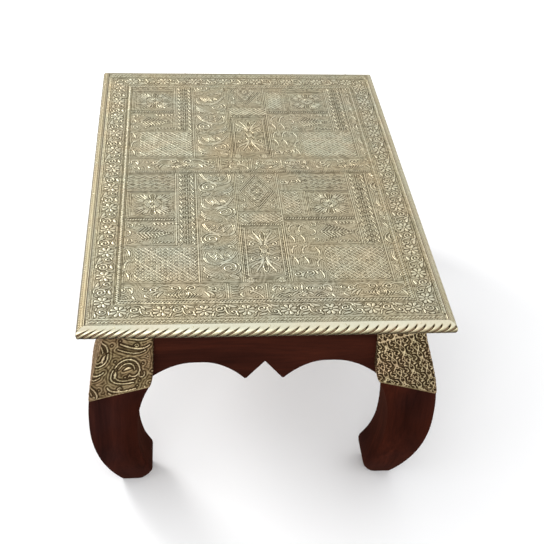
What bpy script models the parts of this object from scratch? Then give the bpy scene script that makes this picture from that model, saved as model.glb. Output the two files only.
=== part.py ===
"""Low table with a fixed brass-clad top, four inward-sweeping legs and shaped aprons.

Run with: blender --background --python part.py
Metres, +Z up. The origin is on the floor, under the middle of the top. X runs along the short
side of the top and Y along the long side. An "inset" is a distance inwards from the top's edge.
"""
import math

import bmesh
import bpy
from mathutils import Vector

# Overall size
WIDTH = 0.600
LENGTH = 0.880
HEIGHT = 0.400
GAP = 0.0003                # clearance between pieces that touch

# Top: wooden panel, wooden half-round edging, brass sheet, brass edge covers
TOP_THICKNESS = 0.023
BRASS = 0.0008              # sheet and edge cover thickness
EDGING_WIDTH = 0.030
COVER_TOP_REACH = 0.0125    # how far the edge cover reaches in over the top
COVER_BOTTOM_REACH = 0.025
SHEET_INSET = 0.0132
ARC_STEPS = 14

# Legs: square in section, cut to a curve on all four faces
KNEE_HEIGHT = 0.182
KNEE_INSET = 0.0073
KNEE_BEND = 1.95            # exponent of the curve from the knee down to the foot
FOOT_INSET = 0.053
LEG_TOP_INSET = 0.0405
TOP_BEND = 1.4              # how late the leg draws in between the knee and the top
SHOULDER_INSET = 0.118      # inner faces at the top of the leg, between the aprons
CORNER_RADIUS = 0.003
CORNER_STEPS = 2
FOOT_CORNER_RADIUS = 0.017  # the two side corners of the foot, at the floor
FOOT_CORNER_FADE = 0.095    # height at which those corners are as sharp as the rest
SIDE_CORNER_STEPS = 4
INNER_CURVE = (             # height, inset of the two inner faces
    (0.000, 0.1000),
    (0.012, 0.1045),
    (0.038, 0.1100),
    (0.055, 0.1055),
    (0.075, 0.0990),
    (0.100, 0.0935),
    (0.130, 0.0895),
    (0.160, 0.0885),
    (0.185, 0.0890),
    (0.205, 0.0910),
    (0.225, 0.0950),
    (0.244, 0.1010),
    (0.256, 0.1065),
    (0.264, 0.1105),
    (0.272, 0.1138),
    (0.284, 0.1160),
    (0.310, 0.1170),
    (0.345, SHOULDER_INSET),
    (HEIGHT, SHOULDER_INSET),
)
LEG_RINGS = (               # heights at which the leg's section is drawn
    0.000, 0.006, 0.012, 0.020, 0.029, 0.038, 0.044, 0.052,
    0.0645, 0.077, 0.0895, 0.102, 0.1145, 0.127, 0.1395, 0.152, 0.1645, 0.177, 0.1895,
    0.200, 0.210, 0.219, 0.228, 0.236, 0.243, 0.249, 0.255, 0.260, 0.265, 0.270,
    0.275, 0.281, 0.289, 0.300, 0.313, 0.327, 0.341, 0.354, 0.366,
)

# Brass cladding on the upper part of each leg
CLADDING = 0.0005
CLADDING_LOW = 0.240        # lower edge at the outer corner
CLADDING_HIGH = 0.264       # lower edge at the inner edges
CLADDING_ROWS = 18
ROW_CROWDING = 1.25         # rows lie closer together near the lower edge
FACE_STEPS = 5
LEG_SKIN = CLADDING + GAP   # how far the wood lies behind the cladding's outer face

# Aprons
APRON_INSET = 0.0435
APRON_THICKNESS = 0.022
PENDANT_X = 0.0315          # centre line to the tip of each pendant
PENDANT_Z = 0.253
PENDANT_BLUNT = 0.0012      # half the width of its blunt tip
NOTCH_Z = 0.291
CROWN_Z = 0.2905
ARCH_RISE = 0.0715          # tip of the pendant to the crown of the arch
ARCH_FALL = 0.0795          # crown of the arch to the leg
ARCH_STEPS = 8
TENON_THICKNESS = 0.010
TENON_LENGTH = 0.025
TENON_ROOT = 0.006          # how far the tenon's solid starts inside the apron
TENON_LOW = 0.292
TENON_HIGH = 0.358

# Screw blocks that tie the aprons to the top
BLOCK_LENGTH = 0.060
BLOCK_DEPTH = 0.030
BLOCK_HEIGHT = 0.040
SIDE_BLOCK_Y = 0.190
SCREW_RADIUS = 0.0020
SCREW_HEAD_RADIUS = 0.0040
SCREW_HEAD_HEIGHT = 0.0024
SCREW_HEAD_TAPER = 0.7      # radius of the head's flat, as a share of its rim's
SCREW_POINT = 0.004         # length of the tapered point
SCREW_POINT_TAPER = 0.2
SCREW_REACH = 0.012         # how far a screw goes into the piece behind the block
SCREW_SPACING = 0.030
SCREW_SIDES = 8
HOLE_MOUTH = 0.001          # how far the cutter of a screw hole stands out of the block

# Derived levels
TOP_UNDERSIDE = HEIGHT - TOP_THICKNESS
EDGE_RADIUS = TOP_THICKNESS / 2
EDGE_CENTRE_Z = HEIGHT - EDGE_RADIUS
PANEL_TOP = HEIGHT - 2 * BRASS - 2 * GAP
PANEL_BOTTOM = TOP_UNDERSIDE + BRASS + GAP
FRAME_TOP = PANEL_BOTTOM - GAP
MITRE_GAP = GAP / math.sqrt(2)

LEG_CORNERS = {
    "front_left": (-1, -1),
    "front_right": (1, -1),
    "back_left": (-1, 1),
    "back_right": (1, 1),
}
SIDES = {                   # outward direction of each side of the table
    "front": (0, -1),
    "back": (0, 1),
    "left": (-1, 0),
    "right": (1, 0),
}


# ---------------------------------------------------------------- scene helpers

def clear_scene():
    """Remove every object of the open scene."""
    for old in list(bpy.data.objects):
        bpy.data.objects.remove(old, do_unlink=True)


def principled(name, colour, metallic, roughness):
    """A plain Principled material."""
    material = bpy.data.materials.new(name)
    material.use_nodes = True
    shader = material.node_tree.nodes["Principled BSDF"]
    shader.inputs["Base Color"].default_value = (*colour, 1.0)
    shader.inputs["Metallic"].default_value = metallic
    shader.inputs["Roughness"].default_value = roughness
    return material


def add_object(name, bm, material=None, smooth=True):
    """Turn a bmesh into a linked object, with its faces pointing out."""
    bmesh.ops.remove_doubles(bm, verts=bm.verts, dist=1e-6)
    bmesh.ops.recalc_face_normals(bm, faces=bm.faces)
    mesh = bpy.data.meshes.new(name)
    bm.to_mesh(mesh)
    bm.free()
    if smooth:
        mesh.shade_smooth()
        mesh.set_sharp_from_angle(angle=math.radians(35.0))
    if material is not None:
        mesh.materials.append(material)
    obj = bpy.data.objects.new(name, mesh)
    bpy.context.scene.collection.objects.link(obj)
    return obj


def add_cutter(name, bm):
    """A guide that only serves the Boolean modifiers."""
    cutter = add_object(name, bm, smooth=False)
    cutter.hide_render = True
    cutter.display_type = "WIRE"
    return cutter


def add_boolean(obj, cutter, operation="DIFFERENCE"):
    """Cut obj by cutter, or join the cutter to it."""
    modifier = obj.modifiers.new(cutter.name, "BOOLEAN")
    modifier.operation = operation
    modifier.solver = "EXACT"
    modifier.object = cutter


# ---------------------------------------------------------------- mesh helpers

def loft(bm, rings):
    """Join rings of points into one closed tube with a face at each end."""
    loops = [[bm.verts.new(point) for point in ring] for ring in rings]
    count = len(loops[0])
    for low, high in zip(loops, loops[1:]):
        for k in range(count):
            after = (k + 1) % count
            bm.faces.new((low[k], low[after], high[after], high[k]))
    bm.faces.new(loops[0][::-1])
    bm.faces.new(loops[-1])


def add_box(bm, low, high):
    """An axis-parallel box between two opposite corners."""
    (x0, x1), (y0, y1), (z0, z1) = (sorted(pair) for pair in zip(low, high))
    loft(bm, [
        [(x0, y0, z), (x1, y0, z), (x1, y1, z), (x0, y1, z)]
        for z in (z0, z1)
    ])


def add_turned(bm, origin, direction, profile, segments):
    """A turned solid: profile holds (distance along the direction, radius), tip first."""
    axis = Vector(direction).normalized()
    guide = Vector((0, 0, 1)) if abs(axis.z) < 0.9 else Vector((1, 0, 0))
    across = axis.cross(guide).normalized()
    beside = axis.cross(across)
    rings = []
    for distance, radius in profile:
        centre = Vector(origin) + axis * distance
        angles = [2 * math.pi * k / segments for k in range(segments)]
        rings.append([centre + (across * math.cos(a) + beside * math.sin(a)) * radius for a in angles])
    loft(bm, rings)


def curve_through(points):
    """A smooth function through (position, value) points that never overshoots them."""
    spans = [b[0] - a[0] for a, b in zip(points, points[1:])]
    rises = [(b[1] - a[1]) / span for a, b, span in zip(points, points[1:], spans)]
    slopes = [rises[0]]
    for before, after in zip(rises, rises[1:]):
        slopes.append(0.0 if before * after <= 0 else 2 * before * after / (before + after))
    slopes.append(rises[-1])

    def value(position):
        if position >= points[-1][0]:
            return points[-1][1]
        k = max(n for n, point in enumerate(points) if point[0] <= position)
        span = spans[k]
        t = (position - points[k][0]) / span
        start = points[k][1] * (1 + 2 * t) * (1 - t) ** 2 + slopes[k] * span * t * (1 - t) ** 2
        end = points[k + 1][1] * t * t * (3 - 2 * t) + slopes[k + 1] * span * t * t * (t - 1)
        return start + end

    return value


# ---------------------------------------------------------------- leg shape

inner_inset = curve_through(INNER_CURVE)


def outer_inset(z):
    """Inset of the leg's two outer faces, brass included: a cabriole curve with its knee."""
    if z <= KNEE_HEIGHT:
        drop = (KNEE_HEIGHT - z) / KNEE_HEIGHT
        return KNEE_INSET + (FOOT_INSET - KNEE_INSET) * drop ** KNEE_BEND
    rise = (z - KNEE_HEIGHT) / (TOP_UNDERSIDE + BRASS - KNEE_HEIGHT)
    sweep = (1 - math.cos(math.pi * min(rise, 1.0) ** TOP_BEND)) / 2
    return KNEE_INSET + (LEG_TOP_INSET - KNEE_INSET) * sweep


def at_corner(corner, inset_x, inset_y, z):
    """World point from two insets at one corner of the table."""
    return Vector((corner[0] * (WIDTH / 2 - inset_x), corner[1] * (LENGTH / 2 - inset_y), z))


def arc_at(centre, radius, start_degrees, degrees=90.0, steps=CORNER_STEPS):
    """Points of an arc in the inset plane."""
    angles = [math.radians(start_degrees + degrees * k / steps) for k in range(steps + 1)]
    return [(centre[0] + radius * math.cos(a), centre[1] + radius * math.sin(a)) for a in angles]


def side_corner_radius(z):
    """Radius of the two corners beside the outer one: they round off towards the floor."""
    fade = max(0.0, 1 - z / FOOT_CORNER_FADE) ** 2
    return CORNER_RADIUS + (FOOT_CORNER_RADIUS - CORNER_RADIUS) * fade


def leg_section(z):
    """Wooden section at height z: a square with eased corners, in insets."""
    low = outer_inset(z) + LEG_SKIN
    high = inner_inset(z) - LEG_SKIN
    plain = CORNER_RADIUS
    side = side_corner_radius(z)
    section = arc_at((low + plain, low + plain), plain, 180.0)
    section += arc_at((high - side, low + side), side, 270.0, steps=SIDE_CORNER_STEPS)
    section += arc_at((high - plain, high - plain), plain, 0.0)
    section += arc_at((low + side, high - side), side, 90.0, steps=SIDE_CORNER_STEPS)
    return section


def cladding_path(z_of, rise, depth):
    """One row of cladding points round a leg, from one apron to the other, in insets.

    z_of gives the height for a fraction across a face, and depth is how far the row lies
    behind the cladding's outer face.
    """
    end = APRON_INSET - 2 * GAP
    flap_z = z_of(1.0, rise)
    radius = CORNER_RADIUS + LEG_SKIN - depth
    row = []

    def corners(z):
        return outer_inset(z) + depth + radius, inner_inset(z) - depth - radius

    high = corners(flap_z)[1] + radius
    row.append((high, end, flap_z))
    low = corners(flap_z)[0]
    side_arc = arc_at((high - radius, low), radius, 0.0, -90.0, SIDE_CORNER_STEPS)
    row += [(x, y, flap_z) for x, y in side_arc]
    for k in range(FACE_STEPS - 1, 0, -1):
        z = z_of(k / FACE_STEPS, rise)
        low, high = corners(z)
        row.append((low + (high - low) * k / FACE_STEPS, low - radius, z))
    z = z_of(0.0, rise)
    low = corners(z)[0]
    row += [(x, y, z) for x, y in arc_at((low, low), radius, 270.0, -90.0)]
    mirrored = [(y, x, z) for x, y, z in reversed(row[:FACE_STEPS + SIDE_CORNER_STEPS + 1])]
    return row + mirrored


# ---------------------------------------------------------------- pieces

def make_leg(name, corner, material):
    """One leg, without its mortises."""
    bm = bmesh.new()
    heights = (*LEG_RINGS, FRAME_TOP)
    loft(bm, [[at_corner(corner, x, y, z) for x, y in leg_section(z)] for z in heights])
    return add_object("leg_" + name, bm, material)


def make_cladding(name, corner, material):
    """The brass sheet bent round the two outer faces of a leg, with a flap at each apron."""
    def z_of(across, rise):
        low = CLADDING_LOW + (CLADDING_HIGH - CLADDING_LOW) * across
        return low + (FRAME_TOP - GAP - low) * rise

    bm = bmesh.new()
    layers = []
    for depth in (0.0, CLADDING):
        rises = [(k / CLADDING_ROWS) ** ROW_CROWDING for k in range(CLADDING_ROWS + 1)]
        rows = [cladding_path(z_of, rise, depth) for rise in rises]
        layers.append([[bm.verts.new(at_corner(corner, *point)) for point in row] for row in rows])
    outside, inside = layers
    columns = len(outside[0])
    for k in range(CLADDING_ROWS):
        for n in range(columns - 1):
            for layer in layers:
                bm.faces.new((layer[k][n], layer[k][n + 1], layer[k + 1][n + 1], layer[k + 1][n]))
        for n in (0, columns - 1):
            bm.faces.new((outside[k][n], outside[k + 1][n], inside[k + 1][n], inside[k][n]))
    for k in (0, CLADDING_ROWS):
        for n in range(columns - 1):
            bm.faces.new((outside[k][n], outside[k][n + 1], inside[k][n + 1], inside[k][n]))
    return add_object("leg_cladding_" + name, bm, material)


def along_side(side, run, inset, z):
    """World point on one side of the table: run goes along it, inset goes in from its edge."""
    if side[0] == 0:
        return Vector((run, side[1] * (LENGTH / 2 - inset), z))
    return Vector((side[0] * (WIDTH / 2 - inset), run, z))


def side_half_length(side):
    """Half the length of the table along one side."""
    return WIDTH / 2 if side[0] == 0 else LENGTH / 2


def apron_end(side, z):
    """Run at which an apron meets the curved face of the leg."""
    return side_half_length(side) - inner_inset(z) + LEG_SKIN - GAP


def apron_outline(side):
    """Right half of an apron's edge, mirrored to the left: run along the side, height."""
    drop = CROWN_Z - PENDANT_Z
    tip = PENDANT_X + PENDANT_BLUNT
    foot = apron_end(side, PENDANT_Z)
    right = [(PENDANT_X - PENDANT_BLUNT, PENDANT_Z)]
    for k in range(ARCH_STEPS + 1):
        t = k / ARCH_STEPS
        right.append((tip + (PENDANT_X + ARCH_RISE - tip) * t, CROWN_Z - drop * (1 - t) ** 2))
    for k in range(ARCH_STEPS + 1):
        t = k / ARCH_STEPS
        right.append((foot - ARCH_FALL * (1 - t), CROWN_Z - drop * t * t))
    right += [(apron_end(side, z), z) for z in (*LEG_RINGS, FRAME_TOP) if z > PENDANT_Z]
    left = [(-run, z) for run, z in reversed(right)]
    return left + [(0.0, NOTCH_Z)] + right


def make_apron(name, side, material):
    """One apron board, its ends scribed to the legs, with a tenon at each end."""
    bm = bmesh.new()
    faces_at = (APRON_INSET, APRON_INSET + APRON_THICKNESS)
    loft(bm, [[along_side(side, run, inset, z) for run, z in apron_outline(side)] for inset in faces_at])
    apron = add_object("apron_" + name, bm, material, smooth=False)
    tenons = bmesh.new()
    add_tenons(tenons, side, 0.0)
    add_boolean(apron, add_cutter("tenons_" + name, tenons), "UNION")
    return apron


def add_tenons(bm, side, clearance):
    """Both tenons of one apron, or with a clearance their mortises."""
    half = apron_end(side, TENON_HIGH)
    middle = APRON_INSET + APRON_THICKNESS / 2
    near = middle - TENON_THICKNESS / 2 - clearance
    far = middle + TENON_THICKNESS / 2 + clearance
    for end in (-1, 1):
        low = along_side(side, end * (half - TENON_ROOT), near, TENON_LOW - clearance)
        high = along_side(side, end * (half + TENON_LENGTH + clearance), far, TENON_HIGH + clearance)
        add_box(bm, low, high)


def mitred_strip(name, side, outline, material):
    """A strip along one edge of the top, mitred at both ends."""
    half = side_half_length(side)
    bm = bmesh.new()
    loft(bm, [
        [along_side(side, end * (half - inset - MITRE_GAP), inset, z) for inset, z in outline]
        for end in (-1, 1)
    ])
    return add_object(name, bm, material)


def half_round(radius):
    """The rounded edge in section, from the top round to the underside."""
    return [
        (EDGE_RADIUS - radius * math.sin(math.pi * k / ARC_STEPS),
         EDGE_CENTRE_Z + radius * math.cos(math.pi * k / ARC_STEPS))
        for k in range(ARC_STEPS + 1)
    ]


def edging_outline():
    """Wooden half-round edging, rebated on top for the brass sheet."""
    radius = EDGE_RADIUS - BRASS - GAP
    rebate = SHEET_INSET - GAP
    top = [(EDGING_WIDTH, PANEL_TOP), (rebate, PANEL_TOP), (rebate, EDGE_CENTRE_Z + radius)]
    return top + half_round(radius) + [(EDGING_WIDTH, PANEL_BOTTOM)]


def cover_outline():
    """Brass edge cover: a C section with a short upper and a longer lower flange."""
    outer = [(COVER_TOP_REACH, HEIGHT)] + half_round(EDGE_RADIUS) + [(COVER_BOTTOM_REACH, TOP_UNDERSIDE)]
    inner = [(COVER_BOTTOM_REACH, TOP_UNDERSIDE + BRASS)] + half_round(EDGE_RADIUS - BRASS)[::-1]
    return outer + inner + [(COVER_TOP_REACH, HEIGHT - BRASS)]


def make_slab(name, inset, low, high, material):
    """A flat rectangular piece of the top."""
    bm = bmesh.new()
    add_box(bm, (inset - WIDTH / 2, inset - LENGTH / 2, low), (WIDTH / 2 - inset, LENGTH / 2 - inset, high))
    return add_object(name, bm, material, smooth=False)


def block_places():
    """Name, side and run of every screw block."""
    return [
        ("front", SIDES["front"], 0.0),
        ("back", SIDES["back"], 0.0),
        ("left_front", SIDES["left"], -SIDE_BLOCK_Y),
        ("left_back", SIDES["left"], SIDE_BLOCK_Y),
        ("right_front", SIDES["right"], -SIDE_BLOCK_Y),
        ("right_back", SIDES["right"], SIDE_BLOCK_Y),
    ]


def make_block(name, side, run, material):
    """A screw block in the angle between an apron and the top."""
    near = APRON_INSET + APRON_THICKNESS + GAP
    bm = bmesh.new()
    low = along_side(side, run - BLOCK_LENGTH / 2, near, FRAME_TOP - BLOCK_HEIGHT)
    high = along_side(side, run + BLOCK_LENGTH / 2, near + BLOCK_DEPTH, FRAME_TOP)
    add_box(bm, low, high)
    return add_object("screw_block_" + name, bm, material, smooth=False)


def screw_profile(grip, clearance):
    """Tip, shank and head of a screw; with a clearance, the hole for it."""
    shank = SCREW_RADIUS + clearance
    tip = -(grip + SCREW_REACH) - clearance
    if clearance:
        return [(tip, shank), (HOLE_MOUTH, shank)]
    point = [(tip, SCREW_POINT_TAPER * shank), (tip + SCREW_POINT, shank), (GAP, shank)]
    rim = (GAP, SCREW_HEAD_RADIUS)
    flat = (GAP + SCREW_HEAD_HEIGHT, SCREW_HEAD_TAPER * SCREW_HEAD_RADIUS)
    return point + [rim, flat]


def screw_places():
    """Name, seat, direction and grip of one upward and one outward screw at every block."""
    near = APRON_INSET + APRON_THICKNESS + GAP
    low = FRAME_TOP - BLOCK_HEIGHT
    places = []
    for name, side, run in block_places():
        seat = along_side(side, run - SCREW_SPACING / 2, near + BLOCK_DEPTH / 2, low)
        places.append((name + "_up", seat, (0, 0, -1), BLOCK_HEIGHT))
        seat = along_side(side, run + SCREW_SPACING / 2, near + BLOCK_DEPTH, low + BLOCK_HEIGHT / 2)
        places.append((name + "_out", seat, (-side[0], -side[1], 0), BLOCK_DEPTH))
    return places


# ---------------------------------------------------------------- assembly

def build():
    """Model every piece of the table."""
    clear_scene()
    wood = principled("dark_wood", (0.045, 0.014, 0.010), 0.0, 0.35)
    plain_wood = principled("plain_wood", (0.23, 0.13, 0.07), 0.0, 0.7)
    brass = principled("antique_brass", (0.45, 0.38, 0.22), 1.0, 0.4)
    aged_brass = principled("aged_brass", (0.22, 0.17, 0.09), 1.0, 0.45)
    steel = principled("screw_steel", (0.5, 0.5, 0.5), 1.0, 0.4)

    screw_holes = bmesh.new()
    for _, origin, direction, grip in screw_places():
        add_turned(screw_holes, origin, direction, screw_profile(grip, GAP), SCREW_SIDES)
    screw_holes = add_cutter("screw_holes", screw_holes)
    mortises = bmesh.new()
    for side in SIDES.values():
        add_tenons(mortises, side, GAP)
    mortises = add_cutter("mortises", mortises)

    panel = make_slab("top_panel", EDGING_WIDTH + GAP, PANEL_BOTTOM, PANEL_TOP, plain_wood)
    add_boolean(panel, screw_holes)
    make_slab("brass_top_sheet", SHEET_INSET, PANEL_TOP + GAP, PANEL_TOP + GAP + BRASS, brass)

    for name, side in SIDES.items():
        mitred_strip("edge_moulding_" + name, side, edging_outline(), plain_wood)
        mitred_strip("edge_cover_" + name, side, cover_outline(), brass)
        apron = make_apron(name, side, wood)
        add_boolean(apron, screw_holes)

    for name, corner in LEG_CORNERS.items():
        leg = make_leg(name, corner, wood)
        add_boolean(leg, mortises)
        make_cladding(name, corner, aged_brass)

    for name, side, run in block_places():
        block = make_block(name, side, run, plain_wood)
        add_boolean(block, screw_holes)

    for name, origin, direction, grip in screw_places():
        screw = bmesh.new()
        add_turned(screw, origin, direction, screw_profile(grip, 0.0), SCREW_SIDES)
        add_object("block_screw_" + name, screw, steel)


build()
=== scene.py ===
"""Looks of the brass-clad low table: embossed sheets, rope-twist edge, pins, wood and light.

Everything is in metres in the CAD frame, except the embossed patterns, which are drawn in
millimetres and scaled when they become meshes.
"""
import math

import bmesh
import bpy
import numpy as np
from mathutils import Matrix, Vector


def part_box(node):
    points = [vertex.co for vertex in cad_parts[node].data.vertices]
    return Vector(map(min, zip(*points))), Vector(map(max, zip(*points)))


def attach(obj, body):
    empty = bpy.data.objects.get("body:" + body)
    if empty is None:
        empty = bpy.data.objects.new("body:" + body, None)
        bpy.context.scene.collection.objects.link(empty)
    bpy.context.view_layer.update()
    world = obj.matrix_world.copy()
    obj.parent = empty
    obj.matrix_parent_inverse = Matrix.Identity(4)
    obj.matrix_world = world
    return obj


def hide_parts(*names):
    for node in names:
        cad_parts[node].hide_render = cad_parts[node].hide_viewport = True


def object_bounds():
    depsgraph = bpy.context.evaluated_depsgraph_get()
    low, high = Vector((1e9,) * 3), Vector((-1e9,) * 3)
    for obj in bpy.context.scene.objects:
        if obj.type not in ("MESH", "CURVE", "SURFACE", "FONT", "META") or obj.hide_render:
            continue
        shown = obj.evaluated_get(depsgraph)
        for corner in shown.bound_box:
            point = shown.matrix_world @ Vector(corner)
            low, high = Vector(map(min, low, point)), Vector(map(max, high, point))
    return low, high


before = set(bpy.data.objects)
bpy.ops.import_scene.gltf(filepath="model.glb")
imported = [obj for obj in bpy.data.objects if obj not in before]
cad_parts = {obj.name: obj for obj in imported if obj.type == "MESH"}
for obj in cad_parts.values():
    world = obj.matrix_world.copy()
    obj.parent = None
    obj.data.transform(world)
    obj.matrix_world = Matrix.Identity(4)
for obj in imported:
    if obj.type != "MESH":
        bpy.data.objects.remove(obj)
cad_low, cad_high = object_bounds()

MM = 0.001
TOP_LOW, TOP_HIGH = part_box("edge_cover_front")
SHEET_LOW, SHEET_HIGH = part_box("brass_top_sheet")
HALF_WIDTH = cad_high.x
HALF_LENGTH = cad_high.y
CORNERS = {"front_left": (-1, -1), "front_right": (1, -1), "back_left": (-1, 1), "back_right": (1, 1)}
SIDES = {"front": (0, -1), "back": (0, 1), "left": (-1, 0), "right": (1, 0)}


# ---------------------------------------------------------------- camera and studio

CAMERA_PLACE = Vector((-0.1432, -1.6296, 1.4236))
CAMERA_YAW = 0.11765        # radians to the right of +Y
CAMERA_PITCH = 0.65171      # radians below the horizon
CAMERA_ROLL = 0.05987
CAMERA_LENS = 67.02         # mm, on a 36 mm sensor
WORLD_COLOUR = (0.985, 0.99, 1.0, 1.0)
WORLD_STRENGTH = 1.12
FLOOR_RADIUS = 14.0
FLOOR_GAP = 0.2 * MM        # keeps the floor just under the feet
SOFT_BOXES = {              # place, the point it looks at, size and watts
    "key_light": ((-2.3, 2.0, 2.1), (0, 0, 0.3), (1.2, 1.2), 68.0),
    "front_light": ((-0.7, -2.6, 0.9), (0, -0.2, 0.2), (1.4, 1.0), 24.0),
}


def make_camera():
    """The camera, from its place and three angles."""
    data = bpy.data.cameras.new("camera")
    data.lens = CAMERA_LENS
    data.clip_end = 100.0
    camera = link("camera", data)
    turned = Matrix.Rotation(-CAMERA_YAW, 4, "Z")
    turned = turned @ Matrix.Rotation(math.pi / 2 - CAMERA_PITCH, 4, "X")
    turned = turned @ Matrix.Rotation(CAMERA_ROLL, 4, "Z")
    camera.matrix_world = Matrix.Translation(CAMERA_PLACE) @ turned
    bpy.context.scene.camera = camera


def add_area_light(name, place, target, size, watts):
    """A soft box that looks at a point."""
    data = bpy.data.lights.new(name, "AREA")
    data.shape = "RECTANGLE"
    data.size, data.size_y = size
    data.energy = watts
    light = link(name, data)
    light.location = place
    light.rotation_euler = (Vector(target) - Vector(place)).to_track_quat("-Z", "Y").to_euler()


def make_studio():
    """White floor, pale surroundings and soft boxes."""
    bpy.context.scene.view_settings.view_transform = "Standard"
    world = bpy.data.worlds.new("studio")
    bpy.context.scene.world = world
    world.use_nodes = True
    background = world.node_tree.nodes["Background"]
    background.inputs["Color"].default_value = WORLD_COLOUR
    background.inputs["Strength"].default_value = WORLD_STRENGTH
    bm = bmesh.new()
    bmesh.ops.create_circle(bm, cap_ends=True, radius=FLOOR_RADIUS, segments=64)
    floor = add_mesh("studio_floor", bm)
    floor.location.z = -FLOOR_GAP
    floor.data.materials.append(floor_material())
    for name, settings in SOFT_BOXES.items():
        add_area_light(name, *settings)


# ---------------------------------------------------------------- materials

PLAIN_TINTS = ((1.0, 1.0, 1.0), (0.96, 0.97, 0.98))
LEG_TINTS = ((1.0, 0.95, 0.95), (0.80, 1.0, 1.35))
PATCH_SCALES = (4.5, 15.0)
GRIME = 0.24                # how far fine dirt shifts the tone of brass


class Surface:
    """A node material with a short way to add and link nodes."""

    def __init__(self, name):
        self.material = bpy.data.materials.new(name)
        self.material.use_nodes = True
        self.tree = self.material.node_tree
        self.shader = self.tree.nodes["Principled BSDF"]

    def feed(self, socket, value):
        if isinstance(value, bpy.types.NodeSocket):
            self.tree.links.new(value, socket)
        else:
            socket.default_value = value

    def add(self, kind, inputs=(), **settings):
        node = self.tree.nodes.new("ShaderNode" + kind)
        for name, value in settings.items():
            setattr(node, name, value)
        for key, value in dict(inputs).items():
            self.feed(node.inputs[key], value)
        return node

    def shade(self, **inputs):
        for name, value in inputs.items():
            self.feed(self.shader.inputs[name.replace("_", " ")], value)

    def place(self, scale=(1, 1, 1)):
        """Object coordinates, stretched."""
        coordinates = self.add("TexCoord").outputs["Object"]
        return self.add("Mapping", {"Vector": coordinates, "Scale": scale}).outputs[0]

    def noise(self, vector, scale, detail=2.0, roughness=0.5, distortion=0.0):
        inputs = {"Vector": vector, "Scale": scale, "Detail": detail, "Roughness": roughness,
                  "Distortion": distortion}
        return self.add("TexNoise", inputs).outputs["Fac"]

    def math(self, operation, a, b=0.0, c=0.0):
        return self.add("Math", {0: a, 1: b, 2: c}, operation=operation).outputs[0]

    def span(self, value, low, high, to_low, to_high):
        """Map a value from one range to another."""
        inputs = {"Value": value, "From Min": low, "From Max": high, "To Min": to_low, "To Max": to_high}
        return self.add("MapRange", inputs).outputs["Result"]

    def ramp(self, factor, stops):
        """Colour ramp through (position, colour) stops."""
        node = self.add("ValToRGB", {"Fac": factor})
        band = node.color_ramp
        while len(band.elements) < len(stops):
            band.elements.new(0.5)
        for element, (position, colour) in zip(band.elements, stops):
            element.position = position
            element.color = (*colour, 1.0)
        return node.outputs["Color"]

    def multiply(self, colour, tint):
        inputs = {"Factor": 1.0, "A": colour, "B": tint}
        return self.add("Mix", inputs, data_type="RGBA", blend_type="MULTIPLY").outputs["Result"]

    def bump(self, height, distance, strength):
        inputs = {"Height": height, "Distance": distance, "Strength": strength}
        return self.add("Bump", inputs).outputs["Normal"]


def floor_material():
    """Matt pale floor with a faint unevenness."""
    surface = Surface("studio_floor")
    tone = surface.noise(surface.place(), 1.5)
    surface.shade(Base_Color=surface.ramp(tone, [(0.3, (0.93, 0.93, 0.93)), (0.7, (0.95, 0.95, 0.95))]),
                  Roughness=0.9)
    return surface.material


def chased_lines(surface, place, size, strength):
    """Fine contour lines, like those a chaser fills the ground with, about -strength to strength."""
    swell = surface.noise(place, size, 1.0, 0.4, 0.5)
    wave = surface.math("SINE", surface.math("MULTIPLY", swell, 88.0))
    return surface.math("MULTIPLY", wave, strength)


def brass_material(name, tones, patch_tones, chasing, edge_tint, roughness=(0.62, 0.30)):
    """Antiqued brass: dark in the recesses and bright on the high spots, from patina and rubbing, and from
    the painted shade and highlights carried by the relief tone.

    tones runs from recess to high spot over the mesh's "relief" attribute, and patch_tones holds
    two pairs of tints that large and small patches of the metal drift between. chasing gives the
    size and strength of the chased lines, and edge_tint is the metal's colour at a glance.
    """
    surface = Surface(name)
    relief = surface.add("Attribute", attribute_name="relief").outputs["Fac"]
    place = surface.place()
    grime = surface.noise(place, 260.0, 3.0, 0.6)
    level = surface.math("MULTIPLY_ADD", grime, GRIME, relief)
    level = surface.math("SUBTRACT", level, GRIME / 2)
    if chasing:
        level = surface.math("ADD", level, chased_lines(surface, place, *chasing))
    colour = surface.ramp(level, tones)
    for scale, (one, other) in zip(PATCH_SCALES, patch_tones):
        patches = surface.noise(place, scale, 3.0, 0.55, 0.4)
        colour = surface.multiply(colour, surface.ramp(patches, [(0.38, one), (0.62, other)]))
    surface.shade(
        Base_Color=colour,
        Metallic=0.8,
        Specular_IOR_Level=0.12,
        Specular_Tint=(*edge_tint, 1.0),
        Roughness=surface.span(level, 0.0, 1.0, *roughness),
        Normal=surface.bump(level, 0.0006, 0.5),
    )
    return surface.material


def wood_material(name, axis, tones, roughness, gloss, sheen=0.0, tints=PLAIN_TINTS):
    """Stained wood with its grain along one axis: 0, 1 or 2."""
    surface = Surface(name)
    stretch = [1.0, 1.0, 1.0]
    stretch[axis] = 0.07
    place = surface.place(tuple(stretch))
    figure = surface.noise(place, 26.0, 5.0, 0.62, 1.2)
    pores = surface.noise(place, 420.0, 3.0, 0.6)
    cloud = surface.noise(surface.place(), 6.0, 3.0)
    tone = surface.math("MULTIPLY_ADD", pores, 0.25, figure)
    tone = surface.math("MULTIPLY_ADD", cloud, 0.35, tone)
    colour = surface.ramp(surface.math("SUBTRACT", tone, 0.3), tones)
    drift = surface.ramp(surface.noise(surface.place(), 7.5, 2.0), [(0.40, tints[0]), (0.60, tints[1])])
    surface.shade(
        Base_Color=surface.multiply(colour, drift),
        Roughness=surface.span(pores, 0.3, 0.7, roughness - 0.05, roughness + 0.08),
        Specular_IOR_Level=gloss,
        Sheen_Weight=sheen,
        Sheen_Roughness=0.4,
        Sheen_Tint=(1.0, 0.42, 0.30, 1.0),
        Normal=surface.bump(tone, 0.0004, 0.35),
    )
    return surface.material


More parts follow.
